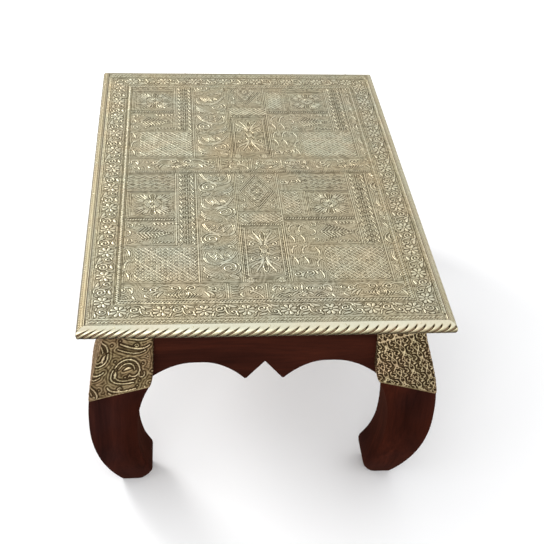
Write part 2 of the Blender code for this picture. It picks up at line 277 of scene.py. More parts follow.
def steel_material():
    """Plain screw steel with fine turning marks."""
    surface = Surface("screw_steel")
    marks = surface.noise(surface.place((1, 1, 8)), 500.0, 3.0)
    surface.shade(
        Base_Color=surface.ramp(marks, [(0.3, (0.28, 0.27, 0.26)), (0.7, (0.55, 0.54, 0.52))]),
        Metallic=1.0,
        Roughness=surface.span(marks, 0.3, 0.7, 0.3, 0.5),
    )
    return surface.material


TOP_TONES = [(0.02, (0.06, 0.05, 0.031)), (0.26, (0.165, 0.143, 0.094)), (0.50, (0.40, 0.365, 0.270)),
             (0.70, (0.51, 0.478, 0.370)), (0.97, (0.66, 0.635, 0.515))]
LEG_TONES = [(0.04, (0.016, 0.010, 0.005)), (0.26, (0.055, 0.038, 0.020)), (0.50, (0.150, 0.113, 0.066)),
             (0.72, (0.27, 0.218, 0.145)), (0.95, (0.48, 0.415, 0.305))]
ROPE_TONES = [(0.06, (0.003, 0.0022, 0.0016)), (0.27, (0.045, 0.033, 0.020)), (0.50, (0.23, 0.195, 0.13)),
              (0.75, (0.56, 0.525, 0.42)), (0.97, (0.76, 0.745, 0.67))]
TOP_PATCHES = (((1.0, 0.955, 0.86), (0.93, 0.95, 0.94)), ((1.0, 0.95, 0.90), (0.96, 0.98, 0.96)))
LEG_PATCHES = (((1.0, 0.95, 0.87), (0.90, 0.87, 0.84)), ((1.0, 0.91, 0.85), (0.93, 0.97, 0.86)))
ROPE_PATCHES = (((1.0, 0.98, 0.93), (0.92, 0.88, 0.78)), ((1.0, 0.97, 0.90), (0.97, 1.0, 0.95)))
WOOD_TONES = [(0.20, (0.010, 0.0030, 0.0020)), (0.50, (0.025, 0.0064, 0.0038)),
              (0.80, (0.050, 0.0120, 0.0062))]
PLAIN_TONES = [(0.20, (0.11, 0.06, 0.035)), (0.50, (0.20, 0.12, 0.07)), (0.80, (0.30, 0.19, 0.11))]


# ---------------------------------------------------------------- meshes

SMOOTH_ANGLE = math.radians(50)     # sharper edges than this stay sharp


def link(name, data):
    """A new object in the scene."""
    obj = bpy.data.objects.new(name, data)
    bpy.context.scene.collection.objects.link(obj)
    return obj


def add_mesh(name, bm):
    """Turn a bmesh into a linked object."""
    mesh = bpy.data.meshes.new(name)
    bm.to_mesh(mesh)
    bm.free()
    return link(name, mesh)


def mesh_from_arrays(name, points, faces, relief):
    """A smooth mesh with a "relief" attribute; faces is a list of index arrays of one size each."""
    mesh = bpy.data.meshes.new(name)
    mesh.vertices.add(len(points))
    mesh.vertices.foreach_set("co", np.asarray(points, np.float32).ravel())
    sizes = np.concatenate([np.full(len(group), group.shape[1]) for group in faces])
    mesh.loops.add(int(sizes.sum()))
    loops = np.concatenate([group.ravel() for group in faces])
    mesh.loops.foreach_set("vertex_index", loops.astype(np.int32))
    mesh.polygons.add(len(sizes))
    starts = np.concatenate([[0], np.cumsum(sizes)[:-1]]).astype(np.int32)
    mesh.polygons.foreach_set("loop_start", starts)
    mesh.update(calc_edges=True)
    mesh.validate()
    attribute = mesh.attributes.new("relief", "FLOAT", "POINT")
    attribute.data.foreach_set("value", np.asarray(relief, np.float32))
    mesh.shade_smooth()
    mesh.set_sharp_from_angle(angle=SMOOTH_ANGLE)
    return link(name, mesh)


def sheet_shell(name, outer, inner, relief, stride):
    """A closed thin sheet: a fine embossed outer grid over a coarse inner one.

    outer and inner are (rows, columns, 3) grids of one size, and stride gives how many rows and
    columns of the outer grid one inner face spans.
    """
    rows, columns = outer.shape[:2]
    row_step, column_step = stride
    index = np.arange(rows * columns).reshape(rows, columns)
    quads = np.stack([index[:-1, :-1], index[:-1, 1:], index[1:, 1:], index[1:, :-1]], -1).reshape(-1, 4)
    low = inner[::row_step, ::column_step]
    below = np.arange(low.shape[0] * low.shape[1]).reshape(low.shape[:2]) + rows * columns
    backs = np.stack([below[:-1, :-1], below[1:, :-1], below[1:, 1:], below[:-1, 1:]], -1).reshape(-1, 4)
    rims = [quads, backs]
    for top, bottom, step in (
        (index[0][::-1], below[0][::-1], column_step),
        (index[-1], below[-1], column_step),
        (index[:, 0], below[:, 0], row_step),
        (index[:, -1][::-1], below[:, -1][::-1], row_step),
    ):
        rims.append(np.array([
            [*top[k * step:(k + 1) * step + 1], bottom[k + 1], bottom[k]]
            for k in range(len(bottom) - 1)
        ]))
    points = np.concatenate([outer.reshape(-1, 3), low.reshape(-1, 3)])
    values = np.concatenate([relief.ravel(), np.zeros(below.size)])
    return mesh_from_arrays(name, points, rims, values)


# ---------------------------------------------------------------- embossing tools

GROUND_TONE = 0.50
PANEL_LINE = (0.8, 0.6)     # half-width and height of the lines between panels


class Relief:
    """Height of an embossed sheet, 0 to 1, on a square grid in millimetres."""

    def __init__(self, low, high, step=1.0):
        self.low = np.array(low, float)
        self.step = step
        self.x = np.arange(low[0], high[0] + step / 2, step)
        self.y = np.arange(low[1], high[1] + step / 2, step)
        self.height = np.zeros((len(self.y), len(self.x)), np.float32)
        self.tone = self.height

    def reached(self, ends, reach, low):
        """Slice of one axis of the grid that a line between two ends can reach."""
        first = int((min(ends) - reach - low) / self.step)
        last = int((max(ends) + reach - low) / self.step) + 2
        return slice(max(first, 0), max(last, 0))

    def stroke(self, points, radii, lift):
        """Raise a round-backed line through the points; its half-width changes along it."""
        for (ax, ay), (bx, by), ra, rb in zip(points, points[1:], radii, radii[1:]):
            across = self.reached((ax, bx), max(ra, rb), self.low[0])
            along = self.reached((ay, by), max(ra, rb), self.low[1])
            window = self.height[along, across]
            if window.size == 0:
                continue
            px = self.x[None, across] - ax
            py = self.y[along, None] - ay
            dx, dy = bx - ax, by - ay
            t = np.clip((px * dx + py * dy) / max(dx * dx + dy * dy, 1e-9), 0.0, 1.0)
            radius = ra + (rb - ra) * t
            off = ((px - t * dx) ** 2 + (py - t * dy) ** 2) / (radius * radius)
            np.maximum(window, lift * np.sqrt(np.clip(1.0 - off, 0.0, 1.0)), out=window)

    def distance(self, limit):
        """Distance in millimetres from the nearest raised line, no further than the limit."""
        away = np.where(self.height > 0.1, 0.0, limit).astype(np.float32)
        rows, columns = away.shape
        for _ in range(int(limit / self.step)):
            padded = np.pad(away, 1, constant_values=limit)
            for dy in range(3):
                for dx in range(3):
                    cost = self.step * math.hypot(dy - 1, dx - 1)
                    np.minimum(away, padded[dy:dy + rows, dx:dx + columns] + cost, out=away)
        return away

    def fill_ground(self, first, period, echo, shadow, ground=GROUND_TONE, limit=15.0, half_width=1.0):
        """Follow every line with fainter echoes of it, and work out the tone of the metal, with painted
        shadow beside the lines and painted highlights on them.

        first is how far the first echo lies from a line and period how far the next ones follow;
        echo is the height of the first one and half_width half its width, shadow is how dark the
        ground gets right beside a raised line, and ground is its tone further off.
        """
        away = self.distance(limit)
        phase = (away - first) / period
        ring = 1.0 - np.abs(phase - np.round(phase)) * period / half_width
        ring = np.clip(ring, 0, 1) * (away > first - half_width) * (away < limit - 0.5)
        ring = ring * echo * np.exp(-(away - first) / 14.0)
        # painted shadow: the ground is darkened right beside every raised line
        beside = np.exp(-((away - 1.0) / 0.9) ** 2) * (away > 0)
        between = np.clip(away / first, 0, 1) * (ring == 0)
        flat = ground - shadow * beside + 0.70 * ring - 0.17 * between
        # raised lines get lighter with their height: partly rubbing on the high spots, partly painted
        # highlight
        raised = 0.58 + 0.36 * self.height
        self.tone = np.where(away > 0, flat, raised)
        self.height = np.maximum(self.height, ring)


def bezier(a, b, c, d, steps=10):
    """Points along a cubic curve."""
    t = np.linspace(0, 1, steps + 1)[:, None]
    a, b, c, d = (np.array(point, float) for point in (a, b, c, d))
    return a * (1 - t) ** 3 + 3 * b * t * (1 - t) ** 2 + 3 * c * t * t * (1 - t) + d * t ** 3


class Pen:
    """Draws on a relief in a moved, turned, scaled and mirrored frame."""

    def __init__(self, relief, at=(0, 0), turn=0.0, scale=1.0, flip=1):
        angle = math.radians(turn)
        turned = np.array([[math.cos(angle), -math.sin(angle)], [math.sin(angle), math.cos(angle)]])
        self.relief = relief
        self.at = np.array(at, float)
        self.matrix = scale * turned @ np.diag((flip, 1.0))
        self.scale = scale

    def to(self, x, y, turn=0.0, scale=1.0, flip=1):
        """A pen placed relative to this one."""
        other = Pen(self.relief, (0, 0), turn, scale, flip)
        other.matrix = self.matrix @ other.matrix
        other.at = self.matrix @ np.array((x, y), float) + self.at
        other.scale = self.scale * scale
        return other

    def halves(self):
        """This pen and its mirror image."""
        return self, self.to(0, 0, flip=-1)

    def stroke(self, points, radii, lift=1.0):
        moved = np.asarray(points, float) @ self.matrix.T + self.at
        radii = np.broadcast_to(np.asarray(radii, float) * self.scale, len(moved))
        self.relief.stroke(moved, radii, lift)

    def line(self, ax, ay, bx, by, radius=0.9, lift=1.0):
        self.stroke([(ax, ay), (bx, by)], radius, lift)

    def dot(self, x, y, radius, lift=1.0):
        self.stroke([(x, y), (x + 0.01, y)], radius, lift)

    def leaf(self, ax, ay, bx, by, radius, bend=0.0, steps=7):
        """A pointed leaf from a to b, bowed sideways by bend."""
        t = np.linspace(0, 1, steps + 1)
        across = np.array((ay - by, bx - ax), float)
        across /= max(np.hypot(*across), 1e-6)
        points = np.outer(1 - t, (ax, ay)) + np.outer(t, (bx, by))
        points += np.outer(4 * t * (1 - t) * bend, across)
        self.stroke(points, 0.45 + (radius - 0.45) * np.sin(np.pi * t) ** 0.8)

    def open_leaf(self, ax, ay, bx, by, radius, bend=0.0):
        """A pointed leaf drawn as its outline and its midrib."""
        for side in (-1, 0, 1):
            self.leaf(ax, ay, bx, by, 0.95 if side else 0.75, bend + side * radius)

    def curve(self, a, b, c, d, radius, steps=10):
        """A curve of one width."""
        self.stroke(bezier(a, b, c, d, steps), radius)

    def comma(self, a, b, c, d, thick, thin=0.6, steps=10):
        """A curve that thins towards its end."""
        self.stroke(bezier(a, b, c, d, steps), np.linspace(thick, thin, steps + 1))

    def arc(self, x, y, radius, start, sweep, width=0.9, squash=1.0):
        steps = max(4, int(abs(sweep) / 24))
        angles = np.radians(start + np.linspace(0, sweep, steps + 1))
        points = np.stack([x + radius * np.cos(angles), y + squash * radius * np.sin(angles)], 1)
        self.stroke(points, width)

    def spiral(self, x, y, radius, start, sweep, width=1.2, core=1.5):
        """A scroll that winds inwards to a round eye."""
        steps = max(6, int(abs(sweep) / 24))
        t = np.linspace(0, 1, steps + 1)
        angles = np.radians(start + sweep * t)
        reach = radius * (1 - 0.78 * t)
        points = np.stack([x + reach * np.cos(angles), y + reach * np.sin(angles)], 1)
        self.stroke(points, width * (1 - 0.25 * t))
        self.dot(*points[-1], core)

    def petals(self, x, y, count, inner, outer, narrow, wide, start=0.0):
        for k in range(count):
            angle = math.radians(start + 360.0 * k / count)
            way = np.array((math.cos(angle), math.sin(angle)))
            points = [np.array((x, y)) + way * reach for reach in (inner, (inner + outer) / 2, outer)]
            self.stroke(points, (narrow, (narrow + wide) / 2 + 0.25, wide))

    def frame(self, width, height, radius=0.8, lift=1.0):
        w, h = width / 2, height / 2
        self.stroke([(-w, -h), (w, -h), (w, h), (-w, h), (-w, -h)], radius, lift)


# ---------------------------------------------------------------- border motifs

VINE_PITCH = 67.3           # from one flower of the border to the next


def spread(count, pitch):
    """Evenly spaced places about 0."""
    return [(k - (count - 1) / 2) * pitch for k in range(count)]


def rope_row(pen, length, pitch, size, radius, slope):
    """A row of slanted dashes, like a laid cord."""
    lean = math.radians(slope)
    dx, dy = size * math.cos(lean) / 2, size * math.sin(lean) / 2
    for x in spread(int(length / pitch), pitch):
        pen.line(x - dx, -dy, x + dx, dy, radius)


def border_flower(pen):
    """Eight-petalled flower."""
    pen.petals(0, 0, 8, 4.6, 10.8, 1.1, 2.9, 22.5)
    pen.dot(0, 0, 2.4)


def vine_unit(pen):
    """The scrolls and leaves between two flowers, drawn about their middle."""
    pen.spiral(8.5, -3.5, 8.6, 200, -500, 1.35, 1.8)
    pen.comma((0.5, -6.5), (-1, 8), (-6, 13), (-13, 10.5), 1.4)
    pen.spiral(-12.5, 4.5, 6.2, 100, 330, 1.25, 1.6)
    pen.leaf(1.5, 9.5, 13.5, 13.2, 2.3, -1.0)
    pen.leaf(-18.5, -9.0, -5.5, -13.0, 2.7, 1.5)
    pen.leaf(-7.5, -3.5, -1.0, -12.0, 1.5, -1.0)
    pen.leaf(15.5, -13.5, 20.0, -7.0, 1.6)
    pen.leaf(-20.5, 13.5, -18.0, 7.0, 1.5)
    pen.comma((17, 3), (22, 8), (18, 14), (22, 14), 1.3, 0.8)
    pen.comma((-3, -8), (-6, -14), (4, -15.5), (10, -14), 1.3, 0.8)


def vine_strip(pen, count):
    """Flowers and scrolls along a strip, centred on the pen."""
    for x in spread(count, VINE_PITCH):
        border_flower(pen.to(x, 0))
    for x in spread(count - 1, VINE_PITCH):
        vine_unit(pen.to(x, 0))


def corner_scroll(pen):
    """Scroll and leaves in a corner of the border."""
    pen.spiral(1, 1, 9.0, 190, 480, 1.35, 1.8)
    pen.leaf(-13, -4, -12, -15, 2.2, 2.0)
    pen.leaf(-4, -13.5, 8, -12, 2.2, -2.0)
    pen.leaf(11, 3, 13.5, -9, 2.0, 2.0)
    pen.leaf(-12, 4, -10, 14, 1.8, -1.0)


# ---------------------------------------------------------------- field motifs

def lattice(pen, width, height, cell=9.2):
    """A diagonal lattice with small and large beads in its openings."""
    across, up = int(width / cell), int(height / cell)
    w, h = across * cell / 2, up * cell / 2
    for k in range(-up, across):
        for lean in (-1, 1):
            x = (k + 0.5) * cell
            low, high = max(0.0, -x), min(2 * h, 2 * w - x)
            if high > low:
                pen.line(lean * (x + low - w), low - h, lean * (x + high - w), high - h, 0.95)
    for i in range(across):
        for j in range(up):
            x, y = (i + 0.5) * cell - w, (j + 0.5) * cell - h
            pen.dot(x, y, 1.15, 0.9)
            if i and j:
                pen.dot(x - cell / 2, y - cell / 2, 1.5)


def bead_column(pen, height, pitch=15.2):
    """Rosettes of beads between two zigzags."""
    for y in spread(int(height / pitch), pitch):
        pen.dot(0, y, 1.7)
        for n in range(6):
            angle = math.radians(60 * n + 30)
            pen.dot(5.0 * math.cos(angle), y + 5.0 * math.sin(angle), 1.25)
        for side in (-1, 1):
            pen.stroke([(side * 13, y - pitch / 2), (side * 8.6, y), (side * 13, y + pitch / 2)], 0.85)
            pen.dot(side * 12.2, y, 1.2)


def wave_panel(pen, width, height, rows=4, folds=8):
    """Rows of zigzags with beads in their folds."""
    for y in spread(rows, height / rows):
        points = [((n / folds - 0.5) * width, y + (3.6 if n % 2 else -3.6)) for n in range(folds + 1)]
        pen.stroke(points, 1.0)
        for n in range(1, folds):
            pen.dot(points[n][0], y + (-3.0 if n % 2 else 3.0), 1.15)


def daisy_panel(pen, width, height):
    """A many-petalled daisy with rays at the sides and fans in the corners."""
    pen.petals(0, 0, 16, 4.8, 12.4, 0.7, 1.25)
    pen.dot(0, 0, 2.0)
    pen.frame(width, height, *PANEL_LINE)
    for turn in (0, 90, 180, 270):
        reach = (width if turn % 180 == 0 else height) / 2
        for n in range(-3, 4):
            far = min(reach - 3.0, 33.0 - 1.6 * abs(n))
            pen.to(0, 0, turn + 11.0 * n).line(17.5 + abs(n), 0, far, 0, 0.85)
        for n in range(-2, 3):
            pen.to(0, 0, turn + 45 + 9.0 * n).leaf(20, 0, 43 - 3 * abs(n), 0, 1.25)


def fish_panel(pen, width, height):
    """A veined leaf that points right, under two sloping rows of beads."""
    w, h = width / 2, height / 2
    for side in (-1, 1):
        for k in range(12):
            t = k / 11
            pen.dot(-w * 0.55 + t * w * 1.45, side * (h - 5) * (1 - t), 1.5)
        for k in range(9):
            x = -w * 0.50 + k * w * 0.145
            top = (h - 12) * (1 - k / 9.5)
            pen.line(x, side * 1.8, x + top * 0.55, side * (1.8 + top * 0.75), 0.85)
        for k in range(7):
            x = w * 0.16 + k * 6.4
            pen.leaf(x, side * (h - 3), x + 3.5, side * (h - 11 + 0.5 * k), 1.2)
        pen.spiral(-w + 9, side * (h - 12), 7.5, 90 * side, -300 * side, 1.15, 1.4)
    pen.line(-w * 0.55, 0, w * 0.55, 0, 1.0)
    pen.comma((-w + 3, -10), (-w + 14, -6), (-w + 14, 6), (-w + 3, 10), 1.2, 1.2)


def leaf_column(pen, height, pitch=32.0):
    """Single leaves that sway up a narrow column."""
    for k, y in enumerate(spread(int(height / pitch), pitch)):
        side = 1 if k % 2 else -1
        pen.leaf(-3 * side, y - 13, 3 * side, y + 9, 1.5, 3.0 * side)
        pen.spiral(3 * side, y + 10, 4.0, 200, 300 * side, 0.9, 1.1)
        pen.dot(-5 * side, y + 5, 1.3)


def swirl_unit(pen):
    """A large double-lined paisley with its scroll, 66 wide and 83 high."""
    for inset in (0.0, 3.4):
        pen.curve((-27 + inset, 36), (-34 + inset, 10), (-20, -2 + inset), (-6, 2 + inset), 1.05, 9)
        pen.curve((-6, 2 + inset), (10, 6 + inset), (22 - inset, 16), (29 - inset, 38), 1.05, 9)
    pen.spiral(13, -8, 15.5, 160, -560, 1.35, 2.0)
    pen.arc(13, -8, 19.0, 150, -215, 0.95)
    pen.open_leaf(-22, 34, -8, 12, 3.6, 3.0)
    pen.open_leaf(-6, 38, 6, 14, 3.4, -3.0)
    pen.open_leaf(8, 36, 17, 20, 3.0, -2.0)
    pen.comma((-29, -6), (-22, -20), (-8, -26), (6, -37), 1.3, 0.8)
    pen.comma((-29, -11), (-23, -24), (-10, -29), (4, -39), 1.1, 0.7)
    pen.comma((-30, -16), (-24, -28), (-12, -33), (0, -40), 1.2, 0.8)
    pen.spiral(-20, -33, 6.5, 30, 330, 1.1, 1.5)
    pen.open_leaf(12, -29, 29, -39, 3.2, 1.0)
    pen.dot(27, -26, 1.7)
    pen.dot(-29, 2, 1.6)
    pen.dot(2, 24, 1.3)


def medallion_panel(pen, width, height):
    """Nested diamonds filled with chevrons, with flowers in the corners."""
    for shrink in (0, 8, 24, 32):
        w, h = width * 0.46 - shrink * 0.55, height / 2 - 3 - shrink
        pen.stroke([(0, -h), (w, 0), (0, h), (-w, 0), (0, -h)], 0.85, 0.65)
    for side in (-1, 1):
        for k in range(6):
            y = side * (9 + 5.6 * k)
            reach = 21.0 - 3.0 * k
            fold = y - side * reach * 0.55
            pen.stroke([(-reach, fold), (0, y), (reach, fold)], 0.85, 0.8)
        for across in (-1, 1):
            x, y = across * (width / 2 - 9), side * (height / 2 - 12)
            pen.petals(x, y, 6, 2.4, 5.6, 0.8, 1.4)
            pen.dot(x, y, 1.2)
            pen.spiral(across * (width / 2 - 8), side * (height / 2 - 30), 5.4, 90, 320 * across, 1.0, 1.2)
            pen.dot(across * (width / 2 - 6), side * (height / 2 - 42), 1.3)
    pen.petals(0, 0, 8, 2.2, 5.4, 0.7, 1.2)


def thistle_panel(pen, width, height, bead_pitch=4.4):
    """A beaded double frame round a pair of palmettes that grow from a crossed stem."""
    pen.frame(width, height, *PANEL_LINE)
    pen.frame(width - 13, height - 13, *PANEL_LINE)
    for k in range(int((height - 6) / bead_pitch)):
        for x in (-width / 2 + 3.3, width / 2 - 3.3):
            pen.dot(x, (k + 0.5) * bead_pitch - (height - 6) / 2, 1.1)
    for half in (pen, pen.to(0, 0, 180)):
        half.open_leaf(0, 28, 0, 61, 4.2)
        for side in half.halves():
            for lift in (0, 4.4):
                side.comma((3.5, 24 + lift), (7, 37 + lift), (11, 46), (17, 54 + lift), 1.15, 0.8)
                side.comma((2, 20 + lift), (9, 30 + lift), (17, 36), (25, 43 + lift), 1.15, 0.8)
            side.comma((3, 18), (12, 25), (22, 26), (26, 33), 1.2, 0.8)
            side.spiral(19, 21, 6.0, 90, -330, 1.2, 1.5)
            side.comma((0, 0), (7, 6), (11, 10), (2, 20), 0.9, 0.8)
            for k in range(3):
                side.comma((9, 3 + 4.4 * k), (15, -2 + 5 * k), (19, 11 + 4 * k), (27, 4 + 5 * k), 1.1, 0.7)
            side.dot(12, 60, 1.4)
    pen.stroke([(0, -6), (5, 0), (0, 6), (-5, 0), (0, -6)], 1.0)


def scroll_strip(pen, width, pitch=21):
    """Alternating scrolls along a strip."""
    for k, x in enumerate(spread(int(width / pitch), pitch)):
        side = 1 if k % 2 else -1
        pen.spiral(x, 2.0 * side, 8.2, -90 * side, 420 * side, 1.2, 1.5)
        pen.leaf(x + 8, 9 * side, x + 13, -3 * side, 1.8, 1.5)
        pen.dot(x - 9, -9 * side, 1.4)


def arch_panel(pen):
    """Scrolls over nested hearts, with palm leaves at both ends."""
    for side in pen.halves():
        side.spiral(13, 11, 8.2, 190, -470, 1.35, 1.8)
        side.comma((20, 16), (30, 22), (40, 18), (44, 10), 1.4, 1.1)
        side.spiral(48, 7, 7.2, 150, -430, 1.25, 1.6)
        for leaf in ((33, 2, 42, -13, 2.0, 2.0), (37, 3, 50, -9, 1.8, 2.0),
                     (41, 5, 57, -3, 1.6, 1.5), (54, -15, 63, -5, 2.0, -1.5)):
            side.leaf(*leaf)
        side.spiral(61, 9, 5.0, 60, -330, 1.0, 1.4)
        for k in range(4):
            x = 9 + 5.2 * k
            side.stroke([(x, -14 + 1.6 * k), (x + 5, -5.5), (x, 2 - 1.6 * k)], 0.85)
        for size in (1.0, 0.5):
            side.leaf(1.5, -15 * size - 2, 1.5, 13 * size - 4, 1.0, -6.5 * size)


def crescent_panel(pen):
    """Thick crescents and combs."""
    pen.comma((-4, 17), (10, 14), (12, 4), (4, -2), 1.0, 1.8)
    pen.comma((4, 3), (12, -2), (22, -8), (24, -17), 1.8, 0.9)
    pen.comma((-10, -2), (-16, -10), (-6, -18), (6, -16), 1.8, 0.8)
    pen.spiral(20, 10, 6.5, 200, -360, 1.2, 1.5)
    for k in range(5):
        pen.line(-26, 14 - 6.2 * k, -16 + 2 * (k % 2), 16 - 6.2 * k, 0.95)
    pen.leaf(-13, 6, -6, 13, 2.0)
    pen.dot(13, -14, 1.5)


def oval_panel(pen):
    """Pairs of concentric ovals with wings, over a small flower."""
    for side in pen.halves():
        for radius in (14.5, 10.0, 5.2):
            side.arc(22, 7, radius, 0, 360, 1.0, 0.62)
        side.comma((36, 14), (46, 20), (53, 8), (46, -2), 1.6, 1.0)
        side.leaf(42, 10, 48, 0, 2.0, 1.5)
        side.leaf(8, -3, 17, -11, 1.8, 1.5)
        for k in range(3):
            side.arc(31, -17, 5.0 + 4.2 * k, 20, 140, 0.9)
        side.leaf(48, -8, 52, -18, 1.8)
    pen.petals(0, -7, 8, 2.6, 6.6, 0.8, 1.4)
    pen.dot(0, -7, 1.4)
    pen.leaf(0, 3, 0, 18, 2.0)


# ---------------------------------------------------------------- sheet patterns

TILE_WIDTH, TILE_HEIGHT = 324, 394
TILE_LOW = (-236, -378)
CORD_TONE = 0.60            # tone that the painted shade and highlights of the outer cords are pulled towards, to soften them
VINE_GROUND_DROP = 0.07     # how much darker the ground is between the vines
FIELD_WIDTH, FIELD_LENGTH = 467, 729
TILE_PANELS = (             # what draws a panel, its centre and its sizes
    (arch_panel, -133, -347),
    (crescent_panel, -28, -347),
    (oval_panel, 61, -347),
    (rope_row, -74, -372, 324, 4.2, 3.2, 0.95, 50),
    (wave_panel, -190, -16, 88, 50),
    (daisy_panel, -186, -90, 86, 82),
    (rope_row, -189, -138, 92, 4.6, 3.4, 1.0, 60),
    (fish_panel, -190, -180, 88, 68),
    (lattice, -162, -270, 110, 98),
    (leaf_column, -226, -268, 96),
    (bead_column, -124, -102, 230),
    (medallion_panel, 6, -48, 72, 124),
    (lattice, 8, -136, 74, 30),
    (rope_row, 8, -156, 74, 4.2, 3.0, 0.9, 60),
    (thistle_panel, 6, -236, 74, 150),
    (scroll_strip, 68, -16, 44),
    (scroll_strip, 68, -300, 44),
    (lattice, 68, -86, 36, 80),
    (rope_row, 68, -138, 40, 4.6, 3.4, 1.0, 60),
    (leaf_column, 58, -215, 130),
    (leaf_column, 76, -215, 130),
)
UPRIGHT_LINES = (           # x, low y and high y
    (-60.5, -369, -325), (2.5, -369, -325), (-143.5, -217, 14),
    (-106.5, -322, 14), (-34, -322, 14), (46.5, -322, 14),
)
LEVEL_LINES = (             # low x, high x and the levels of the lines between them
    (-236, -144, (-46, -133, -143, -217)),
    (-34, 46, (-114,)),
    (48, 88, (-46, -133, -143)),
    (-236, 88, (-322, -376, 14)),
)
BORDER_FRAMES = ((0.9, 470, 732), (0.9, 486, 750), (1.0, 562, 824), (0.8, 572, 852))
VINES_AT = (262, 393.5)     # the middle of the vine border
VINES_FROM = (243, 375)     # where the vine border starts
CORDS_FROM = (279, 412)     # where the outer cords start
LONG_CORDS = {              # distance from the middle, and the row's sizes
    239.0: (744, 5.4, 4.6, 1.25, 42),
    284.0: (822, 4.6, 3.8, 1.05, 42),
}
SHORT_CORDS = {
    370.5: (478, 5.4, 4.6, 1.25, 42),
    417.5: (562, 6.6, 5.6, 1.35, 38),
    424.0: (566, 4.4, 3.6, 1.0, 38),
}


def draw_tile_panels(pen):
    """Every panel of the die that the middle of the top repeats, and the lines between them."""
    for draw, x, y, *sizes in TILE_PANELS:
        draw(pen.to(x, y), *sizes)
    for k in range(4):
        swirl_unit(pen.to(-69, -25.5 - 83 * k, flip=1 if k % 2 else -1))
    for x in (-22, 30):
        border_flower(pen.to(x, -317, scale=0.5))
    for x, low, high in UPRIGHT_LINES:
        pen.line(x, low, x, high, *PANEL_LINE)
    for low, high, levels in LEVEL_LINES:
        for y in levels:
            pen.line(low, y, high, y, *PANEL_LINE)


def draw_top():
    """Relief of the whole top sheet: field, inner cord, vine border and outer cord."""
    tile = Relief(TILE_LOW, (TILE_LOW[0] + TILE_WIDTH - 1, TILE_LOW[1] + TILE_HEIGHT - 1))
    for shift in (0, -TILE_WIDTH):
        draw_tile_panels(Pen(tile, (shift, 0)))
    low = [math.floor(value / MM) for value in SHEET_LOW[:2]]
    top = Relief(low, [-value for value in low])
    across = (np.arange(len(top.x)) + low[0] - TILE_LOW[0]) % TILE_WIDTH
    along = (np.arange(len(top.y)) + low[1] - TILE_LOW[1]) % TILE_HEIGHT
    field = (np.abs(top.x) < FIELD_WIDTH / 2)[None, :] & (np.abs(top.y) < FIELD_LENGTH / 2)[:, None]
    top.height[:] = np.where(field, tile.height[np.ix_(along, across)], 0.0)
    pen = Pen(top)
    for radius, width, height in BORDER_FRAMES:
        pen.frame(width, height, radius)
    for side in (-1, 1):
        long_way, short_way = (90, 0) if side > 0 else (-90, 180)
        for x, sizes in LONG_CORDS.items():
            rope_row(pen.to(x * side, 0, long_way), *sizes)
        for y, sizes in SHORT_CORDS.items():
            rope_row(pen.to(0, y * side, short_way), *sizes)
        vine_strip(pen.to(VINES_AT[0] * side, 0, long_way), 12)
        vine_strip(pen.to(0, VINES_AT[1] * side, short_way), 8)
    for x, y in CORNERS.values():
        corner_scroll(pen.to(VINES_AT[0] * x, (VINES_AT[1] + 1.5) * y, 0, 0.85))
    top.fill_ground(first=2.9, period=3.3, echo=0.34, shadow=0.34)
    cords = (top.x < -CORDS_FROM[0])[None, :] | (np.abs(top.y) > CORDS_FROM[1])[:, None]
    # the painted shade and highlights in the outer cords are weakened, pulled towards CORD_TONE
    top.tone = np.where(cords, CORD_TONE + 0.55 * (top.tone - CORD_TONE), top.tone)
    vines = (np.abs(top.x) > VINES_FROM[0])[None, :] | (np.abs(top.y) > VINES_FROM[1])[:, None]
    top.tone = np.where(vines & ~cords & (top.height < 0.45), top.tone - VINE_GROUND_DROP, top.tone)
    return top


def paisley_unit(pen):
    """A broad paisley with its eye, tail and leaves, about 60 wide and 70 high."""
    pen.curve((-26, 14), (-22, 34), (8, 38), (20, 14), 1.35, 12)
    pen.comma((20, 14), (24, 4), (14, -6), (4, 2), 1.35, 1.1)
    pen.curve((-18, 12), (-14, 26), (4, 28), (11, 13), 1.1)
    pen.leaf(-9, 10, 4, 15, 2.4, 1.5)
    pen.curve((-28, 10), (-34, -12), (-20, -20), (16, -12), 1.25, 12)
    pen.curve((-24, 2), (-18, -10), (-8, -14), (18, -4), 1.05)
    pen.leaf(-24, 8, -22, -6, 2.2, 1.5)
    pen.curve((-30, -24), (-22, -36), (0, -32), (22, -24), 1.35, 12)
    pen.curve((-26, -34), (-16, -44), (4, -40), (24, -34), 1.1, 12)
    pen.spiral(-8, -27, 4.6, 20, 320, 1.0, 1.4)
    for x, y in ((-2, -3), (4, -1), (1, -9), (22, 24), (26, -8), (-30, 26), (24, -18)):
        pen.dot(x, y, 1.4)
    pen.arc(27, 4, 5.2, 60, -250, 1.0)


STOCK_LOW, STOCK_HIGH = (-150, -20), (150, 150)


def draw_swirl_stock():
    """Stock sheet with large paisleys, for two of the leg claddings."""
    stock = Relief(STOCK_LOW, STOCK_HIGH)
    for i in range(5):
        for j in range(3):
            place = (-132 + 66 * i, 6 + 76 * j - 34 * (i % 2))
            paisley_unit(Pen(stock, place, 6, 0.92, 1 if (i + j) % 2 else -1))
    stock.fill_ground(first=4.6, period=4.6, echo=0.50, shadow=0.36, ground=0.38, half_width=1.2)
    return stock


def knot_unit(pen):
    """One knot of an arabesque trellis, 26 wide and 34 high."""
    for side in pen.halves():
        side.curve((-9, -17), (-2, -10), (9, -4), (2, 3), 1.0, 9)
        side.curve((2, 3), (-2, 9), (8, 10), (4, 17), 1.0, 9)
        side.comma((12, -7), (8, -9), (6, -2), (12, 0), 1.05, 0.9)
        side.comma((11, 7), (6, 6), (6, 14), (10, 13), 1.05, 0.9)
        side.leaf(5.5, 2.0, 12.5, 4.0, 1.5, 0.8)
        side.dot(6.4, -13.0, 1.05)
    pen.arc(0, -9.5, 3.2, 0, 360, 0.75, 1.25)
    pen.arc(0, 10.5, 2.8, 0, 360, 0.75, 1.3)
    pen.dot(0, 0.5, 1.25)
    pen.dot(0, -9.5, 0.8)


